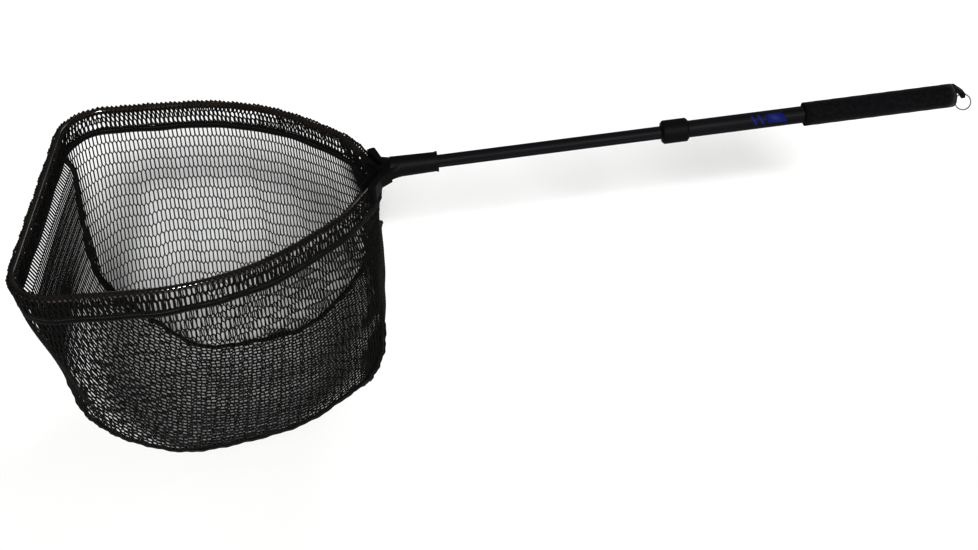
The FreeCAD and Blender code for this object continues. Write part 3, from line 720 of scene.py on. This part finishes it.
gusset_spread = np.arange(-50, 51)
for name, rows in (("gusset_netting_front", np.arange(0, gusset_rows // 2 + 1)),
                   ("gusset_netting_back", np.arange(gusset_rows // 2, gusset_rows + 1))):
    starts, ends, thick = mesh_twines(gusset_spread, rows, gusset_knots)
    strip = twine(name, starts, ends, thick, net_twine)
    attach(strip, "head")
    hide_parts("net_gusset")

# ---- gusset pleats -----------------------------------------------------------------------------
# Beside the far seam the gusset is folded back on itself below the front bar, so two layers of
# netting lie together and read as a dark band. The seam's stitching holds the pleat.

pleat_start, pleat_length, pleat_width, pleat_drift = 0.045, 0.215, 0.012, 0.012
pleat_squeeze = 0.6
pleat_crowding = 0.5
pleat_twine = 0.8
layer_drop, layer_across, layer_gap = 0.004, 0.0007, 0.0025
pleat_ripple, pleat_inward, pleat_swell = 0.0015, 0.004, 0.012


def pleat_layer(layer):
    """The knots of one layer of the pleat, as a place function for mesh_twines."""
    def knots(column, row, foot):
        down = row * row_pitch * pleat_crowding + layer * layer_drop
        if foot:
            down = down + upright * pleat_crowding
        along = pleat_start + np.clip(down, 0, pleat_length)
        edge = points_along(along, gusset_along, gusset_edge)
        way = points_along(along, gusset_along, gusset_way)
        share = np.clip(down / pleat_length, 0, 1)
        swell = np.sin(math.pi * share)
        width = pleat_width * (0.45 + 0.55 * swell)
        spread = column * half_mesh * pleat_squeeze
        across = np.clip(spread + layer * layer_across, 0, width) + pleat_drift * share ** 1.4
        rise = layer_gap * layer + pleat_ripple * np.sin(column * 0.5 + share * 9)
        inward = pleat_inward + pleat_swell * swell
        points = np.stack((edge[..., 0] + way[..., 1] * rise + inward * pleat_squeeze,
                           edge[..., 1] - across, edge[..., 2] - way[..., 0] * rise), -1)
        return points, spread <= width + half_mesh
    return knots


pleat_columns, pleat_rows = np.arange(0, 12), np.arange(0, 30)
layers = [mesh_twines(pleat_columns, pleat_rows, pleat_layer(layer)) for layer in range(2)]
starts, ends, thick = (np.concatenate(parts) for parts in zip(*layers))
pleat = twine("gusset_pleat", starts, ends, thick * pleat_twine, net_twine)
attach(pleat, "head")
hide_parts("net_gusset")

# ---- seam bindings -----------------------------------------------------------------------------
# The gusset and each side are sewn edge to edge inside a folded woven tape, with a row of
# stitches on both faces. The tape puckers and stands a little proud of the netting.

seam_tape_height = 0.0062
pucker_step = 0.0026
puckers = [(0.0007, 0.045, 0), (0.0004, 0.019, 1)]


def frames_along(points):
    """Two directions square to a line: one along the bag's middle plane, and one across it."""
    ways = np.gradient(points, axis=0)
    ways /= np.linalg.norm(ways, axis=1, keepdims=True)
    sides = np.cross(ways, (0, 1, 0))
    sides /= np.linalg.norm(sides, axis=1, keepdims=True)
    return sides, np.cross(sides, ways)


for side, node, mirror in (("far", "seam_tape_far", 1), ("near", "seam_tape_near", -1)):
    line = in_row(gusset_edge * (1, mirror, 1))
    sides, across = frames_along(line)
    line = line + sides * wander(np.arange(len(line)) * pucker_step, puckers)[:, None]
    tape = loop_around(line, (across, sides), folded_section(tape_width, seam_tape_height, 0.5),
                       f"seam_binding_{side}", tape_weave)
    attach(tape, "head")
    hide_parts(node)
    for face, way in (("a", 1), ("b", -1)):
        sewn = stitches(f"seam_stitches_{side}_{face}", line + across * thread_out * way,
                        0.004, 0.0026, thread)
        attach(sewn, "head")

# ---- studio ------------------------------------------------------------------------------------
# A pale floor just below the bag and a bright even sky. The key lamp stands where the camera
# does, so the net's shadow falls behind the net, and a weak soft box lights it from the back.

paint = Finish("pale_floor_paint", 0.9)
paint.colours(paint.grain((2, 2, 2)), (0.78, 0.78, 0.775), (0.81, 0.81, 0.805))
floor_level, floor_reach = -0.36, 30
floor_rows = [[(x, y, floor_level) for x in (-floor_reach, floor_reach)]
              for y in (-floor_reach, floor_reach)]
floor = sheet_mesh("studio_floor", floor_rows, paint)

world = bpy.data.worlds.new("studio_sky")
bpy.context.scene.world = world
world.use_nodes = True
sky_lighting, sky_seen = 0.11, 0.95
sky_tree = world.node_tree
sky = sky_tree.nodes["Background"]
sky.inputs["Color"].default_value = (1, 1, 1, 1)
light_path = sky_tree.nodes.new("ShaderNodeLightPath")
sky_strength = sky_tree.nodes.new("ShaderNodeMapRange")
sky_strength.inputs["To Min"].default_value = sky_lighting
sky_strength.inputs["To Max"].default_value = sky_seen
sky_tree.links.new(light_path.outputs["Is Camera Ray"], sky_strength.inputs["Value"])
sky_tree.links.new(sky_strength.outputs["Result"], sky.inputs["Strength"])


def lamp(name, kind, energy, place, target):
    """A lamp at a place, aimed at a target; gives its light so that its size can be set."""
    light = bpy.data.lights.new(name, kind)
    light.energy = energy
    stand = bpy.data.objects.new(name, light)
    stand.location = place
    stand.rotation_euler = (Vector(target) - Vector(place)).to_track_quat("-Z", "Y").to_euler()
    bpy.context.collection.objects.link(stand)
    return light


back_box = lamp("back_softbox", "AREA", 7, (0.3, 1.6, 1.2), (-0.4, 0, 0))
back_box.shape = "SQUARE"
back_box.size = 1.0

tilt, swing, roll = math.radians(38), math.radians(-0.291), math.radians(7.159)
look = Vector((-math.sin(swing) * math.cos(tilt), math.cos(swing) * math.cos(tilt),
               -math.sin(tilt)))
level = Vector((math.cos(swing), math.sin(swing), 0))
rise = level.cross(look)
right = math.cos(roll) * level - math.sin(roll) * rise
upward = math.sin(roll) * level + math.cos(roll) * rise
aim = Vector((-0.5615, 0, 0))
shift_right, shift_down, distance = 0.0647, 0.144, 1.6491
eye = aim + shift_right * right - shift_down * upward - distance * look

key = lamp("key_lamp", "SUN", 6.1, eye, (-0.80, 0, -0.15))
key.angle = math.radians(12)

lens = bpy.data.cameras.new("studio_camera")
lens.lens = 47.96
lens.sensor_width = 36
camera = bpy.data.objects.new("studio_camera", lens)
camera.matrix_world = Matrix((
    (right.x, upward.x, -look.x, eye.x), (right.y, upward.y, -look.y, eye.y),
    (right.z, upward.z, -look.z, eye.z), (0, 0, 0, 1)))
bpy.context.collection.objects.link(camera)
bpy.context.scene.camera = camera
bpy.context.scene.view_settings.view_transform = "Standard"
bpy.context.scene.view_settings.gamma = 0.8
